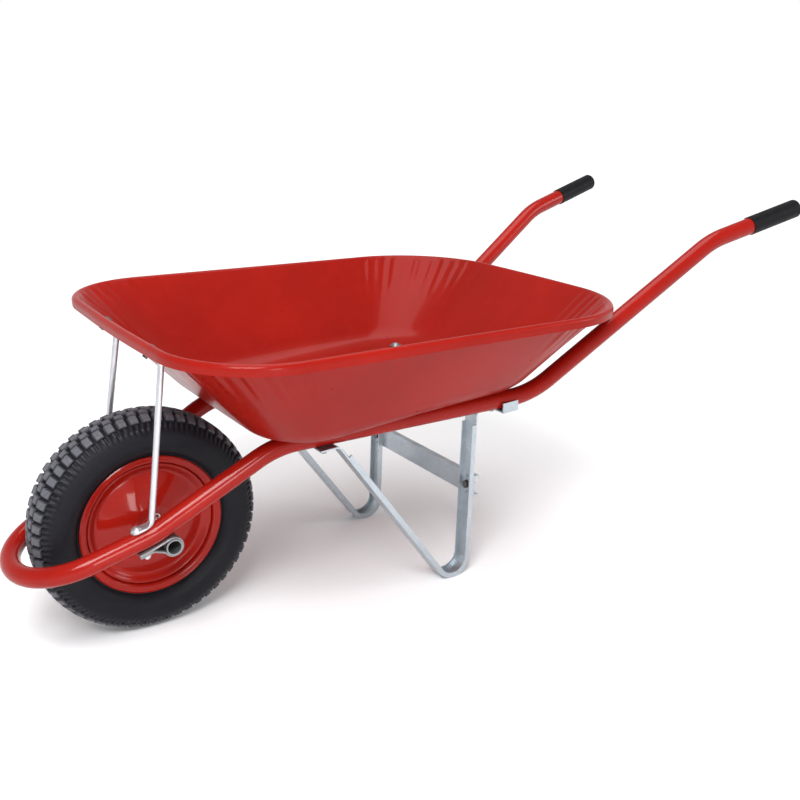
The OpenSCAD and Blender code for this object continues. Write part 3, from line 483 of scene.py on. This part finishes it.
def oval(angle):
    """The tyre's outline as (radius, distance from the middle), from 90 degrees at the tread."""
    s, c = math.sin(angle), math.cos(angle)
    height = TYRE_R - MID_R if s > 0 else MID_R - FLANGE_R + 3
    return MID_R + height * math.copysign(abs(s) ** 0.85, s), TYRE_HALF * math.copysign(abs(c) ** 0.75, c)


def half_section():
    """Points of half the tyre's outline, each with its outward normal and its distance along the skin."""
    outline = np.array([oval(math.radians(90 - OVAL_TURN * i / OVAL_STEPS)) for i in range(OVAL_STEPS + 1)])
    length = np.concatenate([[0], np.cumsum(np.linalg.norm(np.diff(outline, axis=0), axis=1))])
    index = np.arange(OVAL_STEPS + 1)

    def at(i):
        return np.array([np.interp(i, index, outline[:, column]) for column in (0, 1)])

    half = []
    for s in [s for s in ACROSS if s < length[-1]] + [length[-1]]:
        i = np.interp(s, length, index)
        along = at(min(i + 3, OVAL_STEPS)) - at(max(i - 3, 0))
        along /= np.linalg.norm(along)
        half.append((at(i), np.array([along[1], -along[0]]), s))
    return half


def lug(s, u):
    """How deep the tyre is cut at distance s from its middle and part u of a pitch, and how much light is
    painted on it there.
    """
    u = (u - (0.0 if s < ROW_SPLIT else ROW_SHIFT)) % 1.0
    if s < TREAD_END:
        block = smooth(u, 0.26, 0.31) * (1 - smooth(u, 0.955, 1.0))
        inner_row = smooth(s, 0.9, 2.1) * (1 - smooth(s, 12.6, 13.8))
        outer_row = smooth(s, 16.8, 18) * (1 - smooth(s, 34, 35.4))
        # The raised lug faces get painted light; the grooves stay black as painted shade.
        up = block * (inner_row + outer_row)
        return LUG_DEPTH * (1 - up), up
    fade = 1 - smooth(s, 38, 56)
    rib = smooth(0.5 + 0.5 * math.cos(2 * math.pi * (u * 2 - 0.2)), 0.25, 0.75)
    # The sidewall ribs get a little painted light, the grooves between them none.
    return (2.4 * (1 - rib) + 1.2) * fade, 0.12 * rib * fade


def raised_line(s):
    """The sidewall's bulge line and the fitting line near the rim."""
    bulge = 0.7 * math.exp(-(s - 64) ** 2)
    fitting = 0.9 * math.exp(-((s - 86) / 1.2) ** 2)
    return (bulge + fitting) * 0.6


def tyre_mesh():
    """The treaded tyre as sections about the axle, and how much light is painted on each point."""
    half = half_section()
    crossing = [(1, point) for point in half[::-1]] + [(-1, point) for point in half[1:]]
    inner_edge = BEAD_HALF - BEAD_WIDE
    inside = [(FLANGE_R - 4, -BEAD_HALF), (SEAT_R + 1, -inner_edge), (SEAT_R + 1, 0),
              (SEAT_R + 1, inner_edge), (FLANGE_R - 4, BEAD_HALF)]
    rows, painted_relief_light = [], []
    for i in range(LUGS):
        for u in PITCH_PARTS:
            angle = 2 * math.pi * (i + u) / LUGS
            row = []
            for side, (point, normal, s) in crossing:
                # lug also gives how much light is painted on this point.
                depth, relief_light = lug(s, u if side > 0 else (u + 0.5) % 1.0)
                radius, y = point - normal * (depth - raised_line(s))
                row.append(round_axle(radius, side * y, angle))
                painted_relief_light.append(relief_light)
            row += [round_axle(radius, y, angle) for radius, y in inside]
            painted_relief_light += [0.0] * len(inside)
            rows.append(row)
    return skin(rows, close_rows=True, flip=True), painted_relief_light


# The tyre and the light painted on its raised faces.
tyre, tread_relief_light = tyre_mesh()
make("tyre_tread", tyre, TYRE, "wheel", 40, ["tyre"], tread_relief_light)


# ---------------------------------------------------------------- wheel discs and rim
# Lines of (radius, distance along the axle)
WHEEL_SHEET = 2.0
BAND_IN, EDGE, GROOVE, GROOVE_R, HUB_Y, HUB_R = 99.58, 29.0, 21.0, 85.6, 42.0, 19.6
disc = [(BAND_IN, EDGE - 10), (BAND_IN, EDGE - 2), (BAND_IN - 1.6, EDGE), (BAND_IN - 4.5, EDGE - 0.4),
        (GROOVE_R + 2, GROOVE + 0.6), (GROOVE_R - 1.5, GROOVE), (GROOVE_R - 5, GROOVE + 1.4),
        (60, 32.6), (37, HUB_Y - 1.4), (33, HUB_Y), (30, HUB_Y), (HUB_R, HUB_Y)]
band = [(FLANGE_R, 34.4), (FLANGE_R - 0.8, 33.4), (FLANGE_R - 3, 32.4), (SEAT_R + 2.5, 32), (SEAT_R, 29.5),
        (SEAT_R, 16), (SEAT_R - 5, 11), (SEAT_R - 5, 4)]
WELD_R, WELD_STEPS, WELD_SIDES = 1.6, 140, 12


def weld_bead(side):
    """The rippled bead where the hub tube meets a disc."""
    rows = []
    for i in range(WELD_STEPS):
        angle = 2 * math.pi * i / WELD_STEPS
        ripple = 1 + 0.22 * math.cos(angle * 46) + 0.1 * math.sin(angle * 5)
        turns = [2 * math.pi * k / WELD_SIDES for k in range(WELD_SIDES)]
        rows.append([round_axle(HUB_R + WELD_R * ripple * math.cos(turn),
                                side * (HUB_Y + 1.5 * ripple * max(0, math.sin(turn)) - 0.3), angle)
                     for turn in turns])
    return skin(rows, close_rows=True, flip=side < 0)


disc_ring = sheet_outline(round_corners(disc, 3), -WHEEL_SHEET)
for side, name in SIDES:
    make(name + "_wheel_disc", revolve(disc_ring, 160, side), WHEEL_PAINT, "wheel", 60,
         [name + "_rim_disc"])
half_band = round_corners(band, 3)
band_ring = sheet_outline(np.vstack([half_band, (half_band * [1, -1])[::-1]]), WHEEL_SHEET)
make("rim_ring", revolve(band_ring, 200), WHEEL_PAINT, "wheel", 60, ["rim_band"])
for side, name in SIDES:
    make(name + "_hub_weld", weld_bead(side), WHEEL_PAINT, "wheel", 70)


# ---------------------------------------------------------------- frame loop, where struts and clips bolt on
AXLE_R, STRAP = 12.5 + 0.02, 3
RISE, LOOP = math.radians(28.6), math.radians(16)
KINK_X, KINK_HALF, REACH, LOOP_HALF = 25, 108, 203, 95
RISE_GAP = TUBE_R + AXLE_R + STRAP + 0.8
kink_z = AZ / MM + (RISE_GAP - KINK_X * math.sin(RISE)) / math.cos(RISE)
kink = np.array([-KINK_X, KINK_HALF, kink_z])
corner = np.array([-REACH, LOOP_HALF, kink_z - (REACH - KINK_X) * math.tan(LOOP)])
loop_dir = (kink - corner) / np.linalg.norm(kink - corner)
loop_up = np.cross(loop_dir, [0, 1, 0])
loop_up /= np.linalg.norm(loop_up)
foot_bolt = kink - 20 * loop_dir


def loop_point(s, n):
    """A point s along the loop from its bolt and n across the tube."""
    return foot_bolt + s * loop_dir + n * loop_up


# ---------------------------------------------------------------- struts
STRUT_HALF, TOP_IN, AIR = 95.0, 24.0, 0.5
TAB_MID, TAB_END, TAB_HALF, TAB_THICK_HALF, ROD_R = 2.0, 9.4, 9.5, 1.95, 4.75
strut_bow = BOW * math.cos(math.pi / 2 * STRUT_HALF / RIM.front_half) ** 2
wall_reach = FLOOR.front - RIM.front - LIP_R + strut_bow
wall_rise = TUBE_R + FRONT_RISE - LIP_R - TOP
front_slope = math.atan2(wall_rise, wall_reach) + math.asin(LIP_R / math.hypot(wall_reach, wall_rise))
wall_length = math.sqrt(wall_reach ** 2 + wall_rise ** 2 - LIP_R ** 2)


def wall_point(s, n):
    """A point s down the tray's front wall from the strut's top bolt and n in front of it."""
    up = wall_length - TOP_IN - s
    x = FLOOR.front - up * math.cos(front_slope) - n * math.sin(front_slope)
    z = TOP + up * math.sin(front_slope) - n * math.cos(front_slope)
    return np.array(deck_place(x, STRUT_HALF, z))


def sweep(centres, ups, sizes, steps=28):
    """A closed bar; sizes gives its half width, half thickness and squareness at each centre."""
    rows = []
    for i, centre in enumerate(centres):
        along = centres[min(i + 1, len(centres) - 1)] - centres[max(i - 1, 0)]
        along = along / np.linalg.norm(along)
        across = np.cross(ups[i], along)
        across /= np.linalg.norm(across)
        up = np.cross(along, across)
        width, thick, squareness = sizes[i]
        row = []
        for k in range(steps):
            c, s = math.cos(2 * math.pi * k / steps), math.sin(2 * math.pi * k / steps)
            x = math.copysign(abs(c) ** (2 / squareness), c) * width
            y = math.copysign(abs(s) ** (2 / squareness), s) * thick
            row.append(centre + across * x + up * y)
        rows.append(row)
    return skin(rows, cap=True)


def strut_spine():
    """The strut's middle line: a straight tab, a tight bend, the rod, a tight bend and a straight tab."""
    off_wall, off_tube = AIR + SHEET + TAB_MID, TUBE_R + TAB_MID
    top, foot = wall_point(22, off_wall), loop_point(23, off_tube)
    line = [wall_point(-TAB_END, off_wall), wall_point(14, off_wall), top, top * 0.9 + foot * 0.1,
            top * 0.1 + foot * 0.9, foot, loop_point(15, off_tube), loop_point(-TAB_END, off_tube)]
    return relax(subdivide(line, 2.0, 2), 10)


def strut_size(near):
    """Half width, half thickness and squareness, this near to the end: a round-ended tab, then the rod."""
    flat = 1 - smooth(near, 24, 40)
    width = ROD_R + (TAB_HALF - ROD_R) * (1 - smooth(near, 20, 36))
    if near < TAB_HALF:
        width = math.sqrt(max(0.3, TAB_HALF ** 2 - (TAB_HALF - near) ** 2))
    thick = ROD_R + (TAB_THICK_HALF - ROD_R) * flat
    return width * MM, thick * MM, 2 + 4.5 * flat


spine = strut_spine()
run = np.concatenate([[0], np.cumsum(np.linalg.norm(np.diff(spine, axis=0), axis=1))])
strut_sizes = [strut_size(min(s, run[-1] - s)) for s in run]
wall_up = wall_point(0, 0) - wall_point(0, 1)
foot_up = loop_up if np.dot(wall_up, loop_up) > 0 else -loop_up
turned = [smooth(s / run[-1], 0.25, 0.75) for s in run]
for side, name in SIDES:
    ups = [(wall_up * (1 - t) + foot_up * t) * [1, side, 1] for t in turned]
    make(name + "_strut_rod", sweep([place(point, side) for point in spine], ups, strut_sizes),
         STRUT_ZINC, "barrow", 50, [name + "_strut"])


# ---------------------------------------------------------------- axle clips
CLIP_WIDTH, CLIP_THICK, CLIP_EDGE = 30.0, 2.9, 0.45


def clip_path():
    """The strap's middle line from above: under the tube, round the axle and back under itself."""
    along = np.array([loop_dir[0], loop_dir[2]])
    along /= np.linalg.norm(along)
    normal = np.array([-along[1], along[0]])
    bolt, axle = foot_bolt[[0, 2]], np.array([0.0, AZ / MM])
    upper = bolt - normal * (TUBE_R + STRAP / 2)
    lower = bolt - normal * (TUBE_R + STRAP * 1.5)
    start = math.degrees(math.atan2(normal[1], normal[0]))
    arc = [axle + (AXLE_R + STRAP / 2) * np.array([math.cos(math.radians(a)), math.sin(math.radians(a))])
           for a in np.linspace(start + 4, start - 262, 60)]
    above = [upper - along * 12, upper, upper + along * 6]
    below = [lower + along * 9, lower, lower - along * 12]
    return relax(subdivide(above + arc + below, 1.2, 1), 3)


def strap_mesh(path, y0):
    """A flat strap with softened edges along a path of (x, z)."""
    thick, width = CLIP_THICK / 2, CLIP_WIDTH / 2
    corners = [(thick - CLIP_EDGE, width), (thick, width - CLIP_EDGE)]
    corners += [(t, -y) for t, y in corners[::-1]]
    corners += [(-t, y) for t, y in corners[::-1]]
    rows = []
    for i, (x, z) in enumerate(path):
        along = path[min(i + 1, len(path) - 1)] - path[max(i - 1, 0)]
        along = along / np.linalg.norm(along)
        rows.append([place((x - along[1] * t, y0 + y, z + along[0] * t)) for t, y in corners])
    return skin(rows, cap=True)


for side, name in SIDES:
    make(name + "_clip_strap", strap_mesh(clip_path(), side * foot_bolt[1]), AXLE_ZINC, "barrow", 50,
         [name + "_axle_clip"])


# ---------------------------------------------------------------- softened CAD edges
def soften(names, width, segments):
    for name in names:
        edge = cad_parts[name].modifiers.new("soft_edges", "BEVEL")
        edge.width = width * MM
        edge.segments = segments
        edge.limit_method = "ANGLE"
        edge.angle_limit = math.radians(32)
        edge.harden_normals = True


soften(["left_leg", "right_leg", "leg_brace", "rear_strap"], 0.7, 3)
soften(["strut_top_nuts", "brace_nuts", "clip_nuts", "leg_front_nuts", "rear_nuts", "brace_bolts"], 0.4, 2)
soften(["tray_washers", "axle_washers"], 0.2, 2)


# ---------------------------------------------------------------- camera
def aimed(eye, yaw, pitch, roll):
    """A camera's matrix. Yaw turns from +Y towards +X."""
    forward = Vector((math.sin(yaw) * math.cos(pitch), math.cos(yaw) * math.cos(pitch), math.sin(pitch)))
    level = forward.cross(Vector((0, 0, 1))).normalized()
    upright = level.cross(forward)
    right = level * math.cos(roll) + upright * math.sin(roll)
    up = upright * math.cos(roll) - level * math.sin(roll)
    return Matrix.Translation(eye) @ Matrix((right, up, -forward)).transposed().to_4x4()


scene = bpy.context.scene
scene.view_settings.view_transform = "Standard"
lens = bpy.data.cameras.new("camera")
lens.sensor_width = 36
lens.lens = 43.9695
lens.shift_x = -0.0025
lens.shift_y = 0.0059
lens.clip_start = 0.05
camera = bpy.data.objects.new("camera", lens)
camera.matrix_world = aimed(Vector((AX - 0.4483, -1.3764, 0.8385)),
                            math.radians(34.1), math.radians(-18.7), math.radians(0.5))
scene.collection.objects.link(camera)
scene.camera = camera


# ---------------------------------------------------------------- floor, sky and lights
FLOOR_HALF = 7


def pale_paper():
    """White paper that gives a little light of its own far from the object, so no horizon shows."""
    mat, tree, shader = material("floor_paper", (0.86, 0.86, 0.87), 0.85, specular=0.1)
    tree.links.new(mix(tree, noise(tree, 2, 2), (0.87, 0.87, 0.88), (0.90, 0.90, 0.91)),
                   shader.inputs["Base Color"])
    away = node(tree, "ShaderNodeVectorMath", operation="LENGTH")
    tree.links.new(coords(tree), away.inputs[0])
    shader.inputs["Emission Color"].default_value = (1, 1, 1, 1)
    tree.links.new(spread(tree, away.outputs["Value"], 1.2, 3.6, 0.0, 0.6),
                   shader.inputs["Emission Strength"])
    return mat


def studio_sky():
    """White light from all round, weaker from above than from the horizon."""
    world = bpy.data.worlds.new("studio")
    world.use_nodes = True
    tree = world.node_tree
    light = tree.nodes["Background"]
    light.inputs["Color"].default_value = (1, 1, 1, 1)
    split = node(tree, "ShaderNodeSeparateXYZ")
    tree.links.new(tree.nodes.new("ShaderNodeTexCoord").outputs["Generated"], split.inputs[0])
    tree.links.new(spread(tree, split.outputs["Z"], 0.10, 0.60, 1.0, 0.40), light.inputs["Strength"])
    return world


def softbox(name, where, target, width, height, power):
    data = bpy.data.lights.new(name, "AREA")
    data.energy = power
    data.shape = "RECTANGLE"
    data.size = width
    data.size_y = height
    light = bpy.data.objects.new(name, data)
    light.location = where
    light.rotation_euler = (Vector(target) - Vector(where)).to_track_quat("-Z", "Y").to_euler()
    scene.collection.objects.link(light)


paper = bpy.data.meshes.new("floor")
paper.from_pydata([(x * FLOOR_HALF, y * FLOOR_HALF, 0) for x, y in ((-1, -1), (1, -1), (1, 1), (-1, 1))],
                  [], [(0, 1, 2, 3)])
paper.materials.append(pale_paper())
floor = bpy.data.objects.new("floor", paper)
scene.collection.objects.link(floor)
scene.world = studio_sky()
softbox("front", (-0.75, -2.7, 0.75), (-0.45, 0, 0.25), 0.5, 0.9, 16)
softbox("key", (-1.6, -1.6, 2.6), (0, 0, 0.3), 1.3, 1.3, 105)
softbox("top", (0.2, 0.3, 2.9), (0, 0, 0.3), 2.0, 2.0, 46)
softbox("side", (2.4, -1.6, 1.5), (0, 0, 0.3), 1.0, 1.0, 16)
